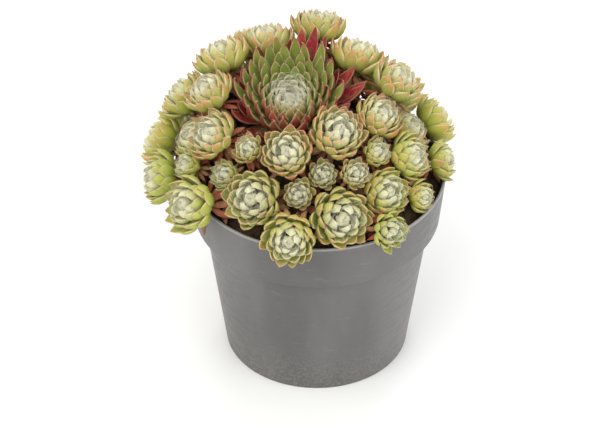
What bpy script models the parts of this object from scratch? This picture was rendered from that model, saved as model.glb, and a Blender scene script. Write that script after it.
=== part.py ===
"""Hens and chicks in a round nursery pot: a mother rosette ringed by offset rosettes on short runners.

Metres, +Z up. The origin is the centre of the pot's underside, and -Y is the front.
"""

import math
import random

import bpy
from mathutils import Matrix, Vector

MM = 0.001
UP = Vector((0, 0, 1))
GOLDEN_ANGLE = math.pi * (3 - math.sqrt(5))
SEED = 27
FIT_GAP = 0.3 * MM
CREASE = math.radians(30)

# Pot: thin moulded plastic, with a deep band under the rim that stands out from the tapered body.
POT_HEIGHT = 85 * MM
RIM_RADIUS = 52.5 * MM
BAND_HEIGHT = 21 * MM
BAND_FOOT_RADIUS = 50.3 * MM
BODY_TOP_RADIUS = 46.6 * MM
FOOT_RADIUS = 38 * MM
POT_WALL = 1.2 * MM
POT_SIDES = 32
EDGE_ROUND = 0.5 * MM

# Underside: a raised ring with drain holes between a middle disc and the foot.
CHANNEL_INNER = 12 * MM
CHANNEL_OUTER = 29 * MM
CHANNEL_DEPTH = 3 * MM
DRAIN_COUNT = 6
DRAIN_RADIUS = 3.5 * MM
DRAIN_SIDES = 6

# Soil: fills the pot to just under the rim and is heaped up under the plants.
SOIL_EDGE = 6 * MM
SOIL_HEAP = 22 * MM
HOLE_DEPTH = 7 * MM

# Mother rosette: a deep bowl of green leaves round a sunken heart, with a loose collar of red leaves.
HEN_BASE = Vector((-11 * MM, 12 * MM, POT_HEIGHT + 21 * MM))
HEN_LEAN = math.radians(24)
HEN_RADIUS = 25 * MM
HEN_GREEN_LEAVES = 40
HEN_RED_LEAVES = 15
HEN_CLEARANCE = 22 * MM
HEN_STEM_RADIUS = 4.5 * MM
HEN_STEM_SIDES = 8

# Cushion: offset rosettes cover it from an upper line round the mother down to a lower line over the rim.
# Each line is a distance from the cushion's centre and a height over the rim, at the front and at the back.
CUSHION_CENTRE = Vector((-7 * MM, 1 * MM, POT_HEIGHT))
UPPER_LINE = ((31 * MM, 28 * MM), (37 * MM, 36 * MM))
LOWER_LINE = ((54 * MM, 4.2 * MM), (57 * MM, 5.5 * MM))
LEAN_AT_RIM = math.radians(80)
LEAN_LOST_PER_RISE = math.radians(1.6) / MM

# Offset rosettes: azimuth in degrees round from the front, share of the way down the cushion, radius in mm.
OFFSETS = (
    (-10, 0, 10.5),
    (34, 0, 11.5),
    (72, 0.04, 10),
    (-95, 0, 10.5),
    (-62, 0.2, 10.5),
    (108, 0.15, 11),
    (137, 0, 11.5),
    (-128, 0, 11.5),
    (-157, 0, 11.5),
    (170, 0, 11.5),
    (-21, 0.5, 12),
    (19, 0.6, 12.5),
    (45, 0.62, 10.5),
    (68, 0.56, 10),
    (92, 0.55, 10.5),
    (-82, 0.5, 10.5),
    (-106, 0.5, 11),
    (-135, 0.5, 12),
    (-160, 0.5, 11.5),
    (180, 0.5, 11.5),
    (152, 0.5, 12),
    (128, 0.5, 11.5),
    (-2, 0.97, 11),
    (-53, 0.83, 12),
    (-80, 0.97, 11),
    (-104, 0.95, 11.5),
    (-128, 1, 11.5),
    (-152, 1, 11),
    (-176, 1, 11.5),
    (160, 1, 11),
    (136, 1, 11.5),
    (112, 0.9, 10.5),
    (88, 1, 8.5),
    (62, 0.9, 7),
    (35, 0.96, 8),
)
FILLERS = 10
FILLER_RADII = (6.5 * MM, 9.5 * MM)
FILLER_SHARES = (0, 0.2, 0.4, 0.6, 0.8)
JITTER = 2.5
LEAN_JITTER = math.radians(6)
HOME_PULL = 0.04
CROWD_PUSH = 0.4
HEN_PUSH = 0.5
SETTLE_ROUNDS = 200
FILLER_ROUNDS = 60
RIM_CLEARANCE = 0.95
CROWDING = 0.988
ROOT_SHARE = 0.8
ROOT_FARTHEST = 46 * MM
CHICK_LEAVES = 12
SMALL_CHICK = 9.6 * MM
SMALL_CHICK_LEAVES = 9
CHICK_STEM_RADIUS = 1.3 * MM
STEM_SIDES = 4


def clear_scene():
    for obj in list(bpy.data.objects):
        bpy.data.objects.remove(obj)


def material(name, colour, roughness):
    made = bpy.data.materials.new(name)
    made.use_nodes = True
    shader = made.node_tree.nodes["Principled BSDF"]
    shader.inputs["Base Color"].default_value = (*colour, 1)
    shader.inputs["Roughness"].default_value = roughness
    shader.inputs["Metallic"].default_value = 0
    return made


def mesh_object(name, points, faces, finish=None):
    mesh = bpy.data.meshes.new(name)
    mesh.from_pydata([tuple(p) for p in points], [], faces)
    mesh.update()
    obj = bpy.data.objects.new(name, mesh)
    bpy.context.scene.collection.objects.link(obj)
    if finish:
        mesh.materials.append(finish)
    return obj


def tube(rings):
    """Points and faces of a closed skin over rings, from low to high; a ring of one point is a tip."""
    points, faces, starts = [], [], []
    for ring in rings:
        starts.append(len(points))
        points += ring
    for k in range(len(rings) - 1):
        low, high = starts[k], starts[k + 1]
        count = max(len(rings[k]), len(rings[k + 1]))
        for i in range(count):
            j = (i + 1) % count
            if len(rings[k + 1]) == 1:
                faces.append((low + i, low + j, high))
            elif len(rings[k]) == 1:
                faces.append((low, high + j, high + i))
            else:
                faces.append((low + i, low + j, high + j, high + i))
    if len(rings[0]) > 1:
        faces.append(tuple(reversed(range(len(rings[0])))))
    if len(rings[-1]) > 1:
        faces.append(tuple(starts[-1] + i for i in range(len(rings[-1]))))
    return points, faces


def ring_round(centre, direction, radius, sides):
    """Points round a centre, anticlockwise as seen from the side that the direction points to."""
    turn = direction.to_track_quat("Z", "X")
    angles = [2 * math.pi * i / sides for i in range(sides)]
    return [centre + turn @ Vector((math.cos(a), math.sin(a), 0)) * radius for a in angles]


def lathe(profile, sides):
    """A closed solid of revolution; its profile starts and ends on the axis and goes up the outside."""
    rings = []
    for radius, height in profile:
        centre = Vector((0, 0, height))
        rings.append(ring_round(centre, UP, radius, sides) if radius else [centre])
    return tube(rings)


def apply_boolean(obj, others, operation, solver="EXACT"):
    """Joins the other objects to obj, or cuts them out of it, and removes them."""
    group = bpy.data.collections.new("operands")
    bpy.context.scene.collection.children.link(group)
    for other in others:
        bpy.context.scene.collection.objects.unlink(other)
        group.objects.link(other)
    modifier = obj.modifiers.new("boolean", "BOOLEAN")
    modifier.operation = operation
    modifier.operand_type = "COLLECTION"
    modifier.collection = group
    modifier.solver = solver
    graph = bpy.context.evaluated_depsgraph_get()
    result = bpy.data.meshes.new_from_object(obj.evaluated_get(graph))
    obj.modifiers.clear()
    obj.data = result
    for other in others:
        bpy.data.objects.remove(other)
    bpy.data.collections.remove(group)


def shade_round(obj):
    """Shades a lathed piece smooth round its axis and keeps its corners crisp."""
    obj.data.shade_smooth()
    obj.data.set_sharp_from_angle(angle=CREASE)


def pot_inner_radius(height):
    """Radius of the pot's inner wall at a height."""
    band_foot = POT_HEIGHT - BAND_HEIGHT
    if height < band_foot + POT_WALL:
        share = (height - POT_WALL) / band_foot
        return FOOT_RADIUS + (BODY_TOP_RADIUS - FOOT_RADIUS) * share - POT_WALL
    share = (height - band_foot) / BAND_HEIGHT
    return BAND_FOOT_RADIUS + (RIM_RADIUS - BAND_FOOT_RADIUS) * share - POT_WALL


def soil_top(radius):
    """Height of the soil's surface at a distance from the pot's axis."""
    share = radius / (RIM_RADIUS - POT_WALL)
    return POT_HEIGHT - SOIL_EDGE + SOIL_HEAP * (1 - share * share)


def make_pot(finish):
    band_foot = POT_HEIGHT - BAND_HEIGHT
    slope = CHANNEL_DEPTH / 2
    ledge = band_foot + POT_WALL
    outside = [
        (0, 0),
        (CHANNEL_INNER, 0),
        (CHANNEL_INNER + slope, CHANNEL_DEPTH),
        (CHANNEL_OUTER - slope, CHANNEL_DEPTH),
        (CHANNEL_OUTER, 0),
        (FOOT_RADIUS - EDGE_ROUND, 0),
        (FOOT_RADIUS, EDGE_ROUND),
        (BODY_TOP_RADIUS, band_foot),
        (BAND_FOOT_RADIUS, band_foot),
        (RIM_RADIUS, POT_HEIGHT - EDGE_ROUND),
        (RIM_RADIUS - EDGE_ROUND, POT_HEIGHT),
    ]
    inside = [
        (RIM_RADIUS - POT_WALL, POT_HEIGHT),
        (pot_inner_radius(ledge), ledge),
        (BODY_TOP_RADIUS - POT_WALL, ledge),
        (FOOT_RADIUS - POT_WALL, POT_WALL),
        (CHANNEL_OUTER + slope / 2, POT_WALL),
        (CHANNEL_OUTER - slope / 2, CHANNEL_DEPTH + POT_WALL),
        (CHANNEL_INNER + slope / 2, CHANNEL_DEPTH + POT_WALL),
        (CHANNEL_INNER - slope / 2, POT_WALL),
        (0, POT_WALL),
    ]
    pot = mesh_object("pot", *lathe(outside + inside, POT_SIDES), finish)
    drains = []
    for k in range(DRAIN_COUNT):
        angle = 2 * math.pi * (k + 0.5) / DRAIN_COUNT
        middle = (CHANNEL_INNER + CHANNEL_OUTER) / 2
        foot = Vector((middle * math.cos(angle), middle * math.sin(angle), -CHANNEL_DEPTH))
        rings = [ring_round(foot + UP * rise, UP, DRAIN_RADIUS, DRAIN_SIDES) for rise in (0, 4 * CHANNEL_DEPTH)]
        drains.append(mesh_object(f"drain_{k}", *tube(rings)))
    apply_boolean(pot, drains, "DIFFERENCE")
    shade_round(pot)


def make_soil(stems, finish):
    """The compost follows the pot's inside and has a plain hole for each stem."""
    floor = CHANNEL_DEPTH + POT_WALL + FIT_GAP
    ledge = POT_HEIGHT - BAND_HEIGHT + POT_WALL + FIT_GAP
    wall = RIM_RADIUS - POT_WALL
    edge = soil_top(wall)
    shoulder, crown = 0.72 * wall, 0.36 * wall
    profile = [
        (0, floor),
        (pot_inner_radius(floor) - FIT_GAP, floor),
        (BODY_TOP_RADIUS - POT_WALL - FIT_GAP, ledge),
        (pot_inner_radius(ledge) - FIT_GAP, ledge),
        (pot_inner_radius(edge) - FIT_GAP, edge),
        (shoulder, soil_top(shoulder)),
        (crown, soil_top(crown)),
        (0, soil_top(0)),
    ]
    soil = mesh_object("soil", *lathe(profile, POT_SIDES), finish)
    holes = []
    for k, stem in enumerate(stems):
        reach = (stem["radius"] + FIT_GAP) / math.cos(math.pi / stem["sides"])
        low = Vector((stem["spot"].x, stem["spot"].y, stem["bottom"] - FIT_GAP))
        high = Vector((stem["spot"].x, stem["spot"].y, soil_top(0) + HOLE_DEPTH))
        rings = [ring_round(p, UP, reach, stem["sides"]) for p in (low, high)]
        holes.append(mesh_object(f"hole_{k}", *tube(rings)))
    apply_boolean(soil, holes, "DIFFERENCE")
    shade_round(soil)


def chick_leaf(radius, share):
    """Shape of an offset's leaf; share runs from 0 at the heart to 1 at the outside."""
    return {
        "root": radius * (0.12 + 0.08 * share),
        "foot": radius * (0.5 - 0.36 * share),
        "angle": math.radians(45 + 45 * share),
        "tip_angle": math.radians(-55 + 62 * share),
        "length": radius * (0.8 + 0.48 * share),
        "width": radius * (0.46 + 0.34 * share),
        "thick": radius * 0.15,
    }


def green_leaf(radius, share):
    """Shape of a leaf in the mother's bowl; the inner ones are short, so the heart is sunk."""
    return {
        "root": radius * (0.1 + 0.06 * share),
        "foot": radius * (0.3 - 0.2 * share),
        "angle": math.radians(42 + 44 * share),
        "tip_angle": math.radians(-50 + 46 * share),
        "length": radius * (0.24 + 0.3 * share + 0.7 * share**2),
        "width": radius * (0.17 + 0.13 * share),
        "thick": radius * (0.055 + 0.02 * share),
    }


def red_leaf(radius, share):
    """Shape of a leaf in the mother's outer collar."""
    return {
        "root": radius * 0.17,
        "foot": radius * (0.1 - 0.1 * share),
        "angle": math.radians(90),
        "tip_angle": math.radians(5 + 35 * share),
        "length": radius * (1.34 + 0.06 * share),
        "width": radius * 0.27,
        "thick": radius * 0.07,
    }


def spiral(count, shape, radius, start=0):
    """Leaves from the innermost out, each a golden angle round from the one before."""
    leaves = []
    for k in range(count):
        share = math.sqrt((k + 0.5) / count)
        leaves.append({**shape(radius, share), "azimuth": (start + k) * GOLDEN_ANGLE})
    return leaves


def leaf_rings(leaf, stations):
    """Three-sided rings along a leaf, in the rosette's own frame; the last one is the tip.

    The midrib starts at (root, foot) and turns evenly from angle to tip_angle, both measured from the axis.
    A station is the share of the length, of the width and of the thickness.
    """
    turn = Matrix.Rotation(leaf["azimuth"], 4, "Z")
    steps = 20
    r, z = leaf["root"], leaf["foot"]
    path = [(r, z, leaf["angle"])]
    for k in range(steps):
        angle = leaf["angle"] + (leaf["tip_angle"] - leaf["angle"]) * (k + 0.5) / steps
        r += math.sin(angle) * leaf["length"] / steps
        z += math.cos(angle) * leaf["length"] / steps
        path.append((r, z, angle))
    rings = []
    for share, width, thick in stations:
        r, z, angle = path[round(share * steps)]
        middle = Vector((r, 0, z))
        inward = Vector((-math.cos(angle), 0, math.sin(angle)))
        across = Vector((0, leaf["width"] / 2 * width, 0))
        keel = middle - inward * leaf["thick"] * thick
        ring = [middle - across, keel, middle + across] if width else [middle]
        rings.append([turn @ p for p in ring])
    return rings


def core_rings(radius, top, sides):
    """Rings of a rosette's core: widest a third of the way up, and domed."""
    rings = [ring_round(Vector(), UP, radius * 0.6, sides)]
    rings.append(ring_round(Vector((0, 0, top * 0.35)), UP, radius, sides))
    rings.append(ring_round(Vector((0, 0, top * 0.8)), UP, radius * 0.62, sides))
    rings.append([Vector((0, 0, top))])
    return rings


def stem_rings(start, axis, hole, bottom, top_radius, radius, sides):
    """Rings of a stem from the bottom of its hole, straight up out of the soil and then over to a rosette."""
    reach = (hole - start).length * 0.4
    first = start - axis * reach
    second = hole + UP * reach * 1.4
    rings = [ring_round(Vector((hole.x, hole.y, bottom)), UP, radius, sides)]
    for t in (1, 0.55, 0.25, 0):
        u = 1 - t
        point = start * u**3 + first * 3 * u * u * t + second * 3 * u * t * t + hole * t**3
        slope = (start - first) * u * u + (first - second) * 2 * u * t + (second - hole) * t * t
        heading = (slope if slope.length > 0 else UP).normalized()
        ring = ring_round(point, heading, radius + (top_radius - radius) * u**3, sides)
        before = rings[-1][0] - sum(rings[-1], Vector()) / sides
        near = max(range(sides), key=lambda i: (ring[i] - point).normalized().dot(before))
        rings.append(ring[near:] + ring[:near])
    return rings


def on_cushion(angle, share):
    """Distance from the cushion's centre and height over the rim, at an azimuth and a share of the way down."""
    back = (1 - math.cos(angle)) / 2
    ends = []
    for front, rear in (UPPER_LINE, LOWER_LINE):
        ends.append([low + (high - low) * back for low, high in zip(front, rear)])
    return [upper + (lower - upper) * share for upper, lower in zip(*ends)]


def chick_at(angle, share, radius, draw):
    """An offset on the cushion."""
    out = Vector((math.sin(angle), -math.cos(angle), 0))
    reach, level = on_cushion(angle, share)
    home = CUSHION_CENTRE + out * reach + UP * level
    lean = LEAN_AT_RIM - LEAN_LOST_PER_RISE * level + draw.uniform(-LEAN_JITTER, LEAN_JITTER)
    axis = out * math.sin(lean) + UP * math.cos(lean)
    spin = draw.uniform(0, 2 * math.pi)
    return {"home": home, "heart": home.copy(), "axis": axis, "radius": radius, "spin": spin}


def settle(chicks, rounds):
    """Pushes the offsets apart until none touch, and off the mother, the rim and the soil."""
    lowest = POT_HEIGHT + LOWER_LINE[0][1]
    for _ in range(rounds):
        for chick in chicks:
            heart, radius = chick["heart"], chick["radius"]
            push = (chick["home"] - heart) * HOME_PULL
            for other in chicks:
                away = heart - other["heart"]
                lap = (radius + other["radius"]) * CROWDING - away.length
                if other is not chick and lap > 0:
                    push += away.normalized() * lap * CROWD_PUSH
            away = heart - hen_axis_point(heart.z)
            lap = HEN_CLEARANCE + radius - away.length
            if lap > 0:
                push += away.normalized() * lap * HEN_PUSH
            flat = Vector((heart.x, heart.y, 0))
            away = heart - flat.normalized() * RIM_RADIUS - UP * POT_HEIGHT
            lap = radius * RIM_CLEARANCE - away.length
            if lap > 0:
                push += away.normalized() * lap
            ground = soil_top(flat.length) + radius if flat.length < RIM_RADIUS else 0
            chick["heart"] = heart + push
            chick["heart"].z = max(chick["heart"].z, ground, lowest)


def room_for(place, chicks):
    """Radius of the largest offset that fits at a place."""
    room = min((place - chick["heart"]).length - chick["radius"] for chick in chicks)
    return min(room, (place - hen_axis_point(place.z)).length - HEN_CLEARANCE)


def place_chicks():
    """The offsets, jittered by the seed and settled, and then a small one in each of the widest gaps."""
    draw = random.Random(SEED)
    chicks = []
    for azimuth, share, radius in OFFSETS:
        angle = math.radians(azimuth + draw.uniform(-JITTER, JITTER))
        chicks.append(chick_at(angle, share, radius * MM, draw))
    settle(chicks, SETTLE_ROUNDS)
    for _ in range(FILLERS):
        tries = []
        for degrees in range(0, 360, 2):
            for share in FILLER_SHARES:
                tries.append(chick_at(math.radians(degrees), share, 0, draw))
        best = max(tries, key=lambda place: room_for(place["home"], chicks))
        least, most = FILLER_RADII
        best["radius"] = min(max(room_for(best["home"], chicks), least), most)
        chicks.append(best)
        settle(chicks, FILLER_ROUNDS)
    return chicks


def hen_axis():
    return Vector((0, -math.sin(HEN_LEAN), math.cos(HEN_LEAN)))


def hen_axis_point(height):
    """Where the mother's axis passes a height."""
    axis = hen_axis()
    return HEN_BASE + axis * (height - HEN_BASE.z) / axis.z


def rosette_frame(base, axis, spin):
    turn = axis.to_track_quat("Z", "Y").to_matrix().to_4x4()
    return Matrix.Translation(base) @ turn @ Matrix.Rotation(spin, 4, "Z")


def make_rosette(name, frame, leaves, stations, core, stem, finish):
    """A core with leaves standing out of it and a stem under it, fused in one body."""
    points, faces = tube(core)
    body = mesh_object(name, [frame @ p for p in points], faces, finish)
    parts = [mesh_object(name + "_stem", *tube(stem))]
    for k, leaf in enumerate(leaves):
        points, faces = tube(leaf_rings(leaf, stations))
        parts.append(mesh_object(f"{name}_leaf_{k}", [frame @ p for p in points], faces))
    apply_boolean(body, parts, "UNION", "MANIFOLD")


def make_chick(name, chick, finish):
    radius, axis = chick["radius"], chick["axis"]
    base = chick["heart"] - axis * radius * 0.6
    outward = Vector((base.x, base.y, 0))
    spot = outward.normalized() * min(outward.length * ROOT_SHARE, ROOT_FARTHEST)
    hole = Vector((spot.x, spot.y, soil_top(spot.length)))
    bottom = hole.z - HOLE_DEPTH
    start = base + axis * radius * 0.15
    stem = stem_rings(start, axis, hole, bottom, radius * 0.3, CHICK_STEM_RADIUS, STEM_SIDES)
    stations = ((0, 0, 0), (0.65, 1, 1), (1, 0, 0))
    core = core_rings(radius * 0.42, radius * 0.95, 6)
    count = SMALL_CHICK_LEAVES if radius < SMALL_CHICK else CHICK_LEAVES
    leaves = spiral(count, chick_leaf, radius)
    make_rosette(name, rosette_frame(base, axis, chick["spin"]), leaves, stations, core, stem, finish)
    return {"spot": spot, "radius": CHICK_STEM_RADIUS, "sides": STEM_SIDES, "bottom": bottom}


def bend_clear(leaf, frame, chicks):
    """Draws a collar leaf in and up until it is clear of the offsets round it."""
    stations = ((0.6, 1, 1), (0.8, 1, 1), (1, 1, 1))
    for _ in range(14):
        points = [frame @ p for ring in leaf_rings(leaf, stations) for p in ring]
        gap = min((p - c["heart"]).length - c["radius"] for p in points for c in chicks)
        if gap > FIT_GAP:
            return
        leaf["tip_angle"] -= math.radians(4)
        leaf["length"] *= 0.97


def make_hen(chicks, finish):
    axis = hen_axis()
    frame = rosette_frame(HEN_BASE, axis, 0)
    leaves = spiral(HEN_GREEN_LEAVES, green_leaf, HEN_RADIUS)
    collar = spiral(HEN_RED_LEAVES, red_leaf, HEN_RADIUS, HEN_GREEN_LEAVES)
    for leaf in collar:
        bend_clear(leaf, frame, chicks)
    spot = Vector((HEN_BASE.x, HEN_BASE.y, 0))
    hole = Vector((spot.x, spot.y, soil_top(spot.length)))
    bottom = hole.z - HOLE_DEPTH
    start = HEN_BASE + axis * HEN_RADIUS * 0.1
    stem = stem_rings(start, axis, hole, bottom, HEN_STEM_RADIUS, HEN_STEM_RADIUS, HEN_STEM_SIDES)
    stations = ((0, 0, 0), (0.45, 1, 1), (0.8, 0.85, 0.8), (1, 0, 0))
    core = core_rings(HEN_RADIUS * 0.3, HEN_RADIUS * 0.46, 8)
    make_rosette("hen", frame, leaves + collar, stations, core, stem, finish)
    return {"spot": spot, "radius": HEN_STEM_RADIUS, "sides": HEN_STEM_SIDES, "bottom": bottom}


def build():
    clear_scene()
    grey = material("pot_plastic", (0.16, 0.155, 0.16), 0.5)
    brown = material("soil", (0.035, 0.024, 0.018), 0.95)
    pale_green = material("chick_leaf", (0.42, 0.5, 0.22), 0.55)
    green = material("hen_leaf", (0.2, 0.34, 0.08), 0.5)
    chicks = place_chicks()
    stems = [make_hen(chicks, green)]
    for k, chick in enumerate(chicks):
        stems.append(make_chick(f"chick_{k + 1:02d}", chick, pale_green))
    make_pot(grey)
    make_soil(stems, brown)


build()
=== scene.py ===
"""Looks of a potted clump of hens and chicks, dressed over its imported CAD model.

Metres, +Z up. The origin is the centre of the pot's underside, and -Y is the front.
"""

import math
import random

import bmesh
import bpy
import numpy as np
from mathutils import Matrix, Vector, noise

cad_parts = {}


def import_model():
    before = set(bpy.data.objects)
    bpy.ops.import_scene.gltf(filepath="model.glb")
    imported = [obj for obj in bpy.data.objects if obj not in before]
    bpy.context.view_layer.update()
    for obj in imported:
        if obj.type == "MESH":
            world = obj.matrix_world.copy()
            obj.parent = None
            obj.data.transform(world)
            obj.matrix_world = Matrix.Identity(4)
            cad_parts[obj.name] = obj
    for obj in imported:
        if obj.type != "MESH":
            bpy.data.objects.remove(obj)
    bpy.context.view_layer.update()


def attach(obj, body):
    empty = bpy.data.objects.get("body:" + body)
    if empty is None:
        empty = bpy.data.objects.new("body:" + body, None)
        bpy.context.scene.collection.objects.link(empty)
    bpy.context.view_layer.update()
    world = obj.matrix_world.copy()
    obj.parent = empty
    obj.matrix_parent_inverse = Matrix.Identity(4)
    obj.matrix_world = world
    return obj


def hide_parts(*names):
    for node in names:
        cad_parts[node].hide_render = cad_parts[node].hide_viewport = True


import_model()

MM = 0.001
UP = Vector((0, 0, 1))
TURN = 2 * math.pi
GOLDEN_ANGLE = math.pi * (3 - math.sqrt(5))
SEED = 27
LOOKS_SEED = 7
FIT_GAP = 0.3 * MM

# Pot: thin moulded plastic, with a deep band under the rim that stands out from the tapered body.
POT_HEIGHT = 85 * MM
RIM_RADIUS = 52.5 * MM
BAND_HEIGHT = 21 * MM
BAND_FOOT = POT_HEIGHT - BAND_HEIGHT
BAND_FOOT_RADIUS = 50.3 * MM
BODY_TOP_RADIUS = 46.6 * MM
FOOT_RADIUS = 38 * MM
POT_WALL = 1.2 * MM
POT_SIDES = 144
EDGE_ROUND = 0.5 * MM
BAND_ROUND = 1.2 * EDGE_ROUND
EDGE_STEPS = 4
SHARP_ANGLE = math.radians(35)

# Underside: a raised ring with drain holes between a middle disc and the foot.
CHANNEL_INNER = 12 * MM
CHANNEL_OUTER = 29 * MM
CHANNEL_DEPTH = 3 * MM
DRAIN_COUNT = 6
DRAIN_RADIUS = 3.5 * MM
DRAIN_SIDES = 32

# Soil: fills the pot to just under the rim and is heaped up under the plants.
SOIL_EDGE = 6 * MM
SOIL_HEAP = 22 * MM
SOIL_RINGS = 34
SOIL_SIDES = 120
LUMP_MM = 0.9
LUMPS_PER_METRE = 260
GRIT = 520
WHITE_GRIT = 0.05
FALLEN_LEAVES = 90
HOLE_DEPTH = 7 * MM

# Mother rosette: a deep bowl of green leaves round a sunken heart, with a loose collar of red leaves.
HEN_BASE = Vector((-11 * MM, 12 * MM, POT_HEIGHT + 21 * MM))
HEN_LEAN = math.radians(24)
HEN_AXIS = Vector((0, -math.sin(HEN_LEAN), math.cos(HEN_LEAN)))
HEN_RADIUS = 25 * MM
HEN_CLEARANCE = 22 * MM
HEN_STEM_RADIUS = 4.5 * MM
HEN_GREEN_LEAVES = 96
HEN_RED_LEAVES = 32
HEN_BUD_LEAVES = 14
HEN_BUD_SIZE = 0.44
HEN_OLD_LEAVES = 22
HEN_OLD_SIZE = 0.85

# Cushion: offset rosettes cover it from an upper line round the mother down to a lower line over the rim.
# Each line is a distance from the cushion's centre and a height over the rim, at the front and at the back.
CUSHION_CENTRE = Vector((-7 * MM, 1 * MM, POT_HEIGHT))
UPPER_LINE = ((31 * MM, 28 * MM), (37 * MM, 36 * MM))
LOWER_LINE = ((54 * MM, 4.2 * MM), (57 * MM, 5.5 * MM))
LEAN_AT_RIM = math.radians(80)
LEAN_LOST_PER_RISE = math.radians(1.6) / MM

# Offset rosettes: azimuth in degrees round from the front, share of the way down the cushion, radius in mm.
OFFSETS = (
    # Next to the mother.
    (-10, 0, 10.5), (34, 0, 11.5), (72, 0.04, 10), (-95, 0, 10.5), (-62, 0.2, 10.5),
    (108, 0.15, 11), (137, 0, 11.5), (-128, 0, 11.5), (-157, 0, 11.5), (170, 0, 11.5),
    # The second row.
    (-21, 0.5, 12), (19, 0.6, 12.5), (45, 0.62, 10.5), (68, 0.56, 10), (92, 0.55, 10.5),
    (-82, 0.5, 10.5), (-106, 0.5, 11), (-135, 0.5, 12), (-160, 0.5, 11.5), (180, 0.5, 11.5),
    (152, 0.5, 12), (128, 0.5, 11.5),
    # At the rim and over it.
    (-2, 0.97, 11), (-53, 0.83, 12), (-80, 0.97, 11), (-104, 0.95, 11.5), (-128, 1, 11.5),
    (-152, 1, 11), (-176, 1, 11.5), (160, 1, 11), (136, 1, 11.5), (112, 0.9, 10.5),
    (88, 1, 8.5), (62, 0.9, 7), (35, 0.96, 8),
)
FILLERS = 10
FILLER_RADII = (6.5 * MM, 9.5 * MM)
FILLER_SHARES = (0, 0.2, 0.4, 0.6, 0.8)
JITTER = 2.5
LEAN_JITTER = math.radians(6)

# Settling: how strongly an offset is drawn home or pushed off its neighbours, and how near it may come.
HOME_PULL = 0.04
CROWD_PUSH = 0.4
HEN_PUSH = 0.5
SETTLE_ROUNDS = 200
FILLER_ROUNDS = 60
RIM_CLEARANCE = 0.95
CROWDING = 0.988

# Stems and leaves of an offset.
ROOT_SHARE = 0.8
ROOT_FARTHEST = 46 * MM
CHICK_STEM_RADIUS = 1.3 * MM
SMALL_CHICK = 9.6 * MM
CHICK_LEAVES = 34
SMALL_CHICK_LEAVES = 26
CHICK_BUD_LEAVES = 8
CHICK_OLD_LEAVES = 13

# Hairs and cobweb: radii of a hair on a margin, of one in a tuft and of a thread.
FRINGE_RADIUS = 0.04 * MM
COLLAR_FRINGE_RADIUS = 0.045 * MM
TUFT_RADIUS = 0.04 * MM
THREAD_RADIUS = 0.03 * MM


# Layout: the same steps and random draws as the CAD source.


def pot_inner_radius(height):
    """Radius of the pot's inner wall at a height."""
    if height < BAND_FOOT + POT_WALL:
        share = (height - POT_WALL) / BAND_FOOT
        return FOOT_RADIUS + (BODY_TOP_RADIUS - FOOT_RADIUS) * share - POT_WALL
    share = (height - BAND_FOOT) / BAND_HEIGHT
    return BAND_FOOT_RADIUS + (RIM_RADIUS - BAND_FOOT_RADIUS) * share - POT_WALL


def soil_top(radius):
    """Height of the soil's surface at a distance from the pot's axis."""
    share = radius / (RIM_RADIUS - POT_WALL)
    return POT_HEIGHT - SOIL_EDGE + SOIL_HEAP * (1 - share * share)


def hen_axis_point(height):
    """Where the mother's axis passes a height."""
    return HEN_BASE + HEN_AXIS * (height - HEN_BASE.z) / HEN_AXIS.z


def on_cushion(angle, share):
    """Distance from the cushion's centre and height over the rim, at an azimuth and share of the way down."""
    back = (1 - math.cos(angle)) / 2
    ends = []
    for front, rear in (UPPER_LINE, LOWER_LINE):
        ends.append([low + (high - low) * back for low, high in zip(front, rear)])
    return [upper + (lower - upper) * share for upper, lower in zip(*ends)]


def chick_at(angle, share, radius, draw):
    """An offset on the cushion."""
    out = Vector((math.sin(angle), -math.cos(angle), 0))
    reach, level = on_cushion(angle, share)
    home = CUSHION_CENTRE + out * reach + UP * level
    lean = LEAN_AT_RIM - LEAN_LOST_PER_RISE * level + draw.uniform(-LEAN_JITTER, LEAN_JITTER)
    axis = out * math.sin(lean) + UP * math.cos(lean)
    spin = draw.uniform(0, TURN)
    return dict(home=home, heart=home.copy(), axis=axis, radius=radius, spin=spin)


def settle(chicks, rounds):
    """Pushes the offsets apart until none touch, and off the mother, the rim and the soil."""
    lowest = POT_HEIGHT + LOWER_LINE[0][1]
    for _ in range(rounds):
        for chick in chicks:
            heart, radius = chick["heart"], chick["radius"]
            push = (chick["home"] - heart) * HOME_PULL
            for other in chicks:
                away = heart - other["heart"]
                lap = (radius + other["radius"]) * CROWDING - away.length
                if other is not chick and lap > 0:
                    push += away.normalized() * lap * CROWD_PUSH
            away = heart - hen_axis_point(heart.z)
            lap = HEN_CLEARANCE + radius - away.length
            if lap > 0:
                push += away.normalized() * lap * HEN_PUSH
            flat = Vector((heart.x, heart.y, 0))
            away = heart - flat.normalized() * RIM_RADIUS - UP * POT_HEIGHT
            lap = radius * RIM_CLEARANCE - away.length
            if lap > 0:
                push += away.normalized() * lap
            ground = soil_top(flat.length) + radius if flat.length < RIM_RADIUS else 0
            chick["heart"] = heart + push
            chick["heart"].z = max(chick["heart"].z, ground, lowest)


def room_for(place, chicks):
    """Radius of the largest offset that fits at a place."""
    room = min((place - chick["heart"]).length - chick["radius"] for chick in chicks)
    return min(room, (place - hen_axis_point(place.z)).length - HEN_CLEARANCE)


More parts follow.
